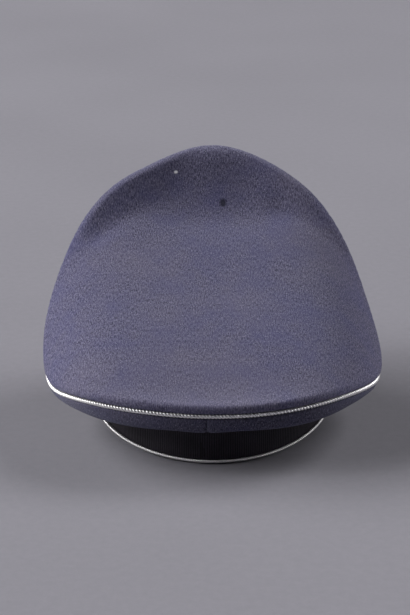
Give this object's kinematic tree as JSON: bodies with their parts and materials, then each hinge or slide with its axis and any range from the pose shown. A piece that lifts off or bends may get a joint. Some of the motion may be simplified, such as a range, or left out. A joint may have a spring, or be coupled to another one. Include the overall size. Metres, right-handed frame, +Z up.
{
  "type": "peaked cap",
  "caption": "Cloth cap with a wide crown that stands high at the front, light piping round crown and band, a black ribbed band and a plain black peak.",
  "frame": {"origin": "under the middle of the whole cap's box, on the surface that the cap rests on", "axes": "+Z up, -Y towards the front and its peak, +X to the wearer's left; the band leans back on its back edge until the peak meets the surface"},
  "size_m": [0.2508, 0.2838, 0.1763],
  "materials": {
    "top_cloth": "blue-grey wool twill",
    "side_cloth": "blue-grey wool twill",
    "band_cloth": "black ribbed cloth",
    "crown_cord": "light twisted cord with a metallic thread",
    "band_cord": "light twisted cord with a metallic thread",
    "peak_leather": "smooth black, glossy"
  },
  "bodies": {
    "root": {"crown_top": "top_cloth", "crown_piping": "crown_cord", "side_panel_left": "side_cloth", "side_panel_right": "side_cloth", "side_panel_front": "side_cloth", "band": "band_cloth", "band_piping": "band_cord", "peak": "peak_leather"}
  },
  "joints": []
}
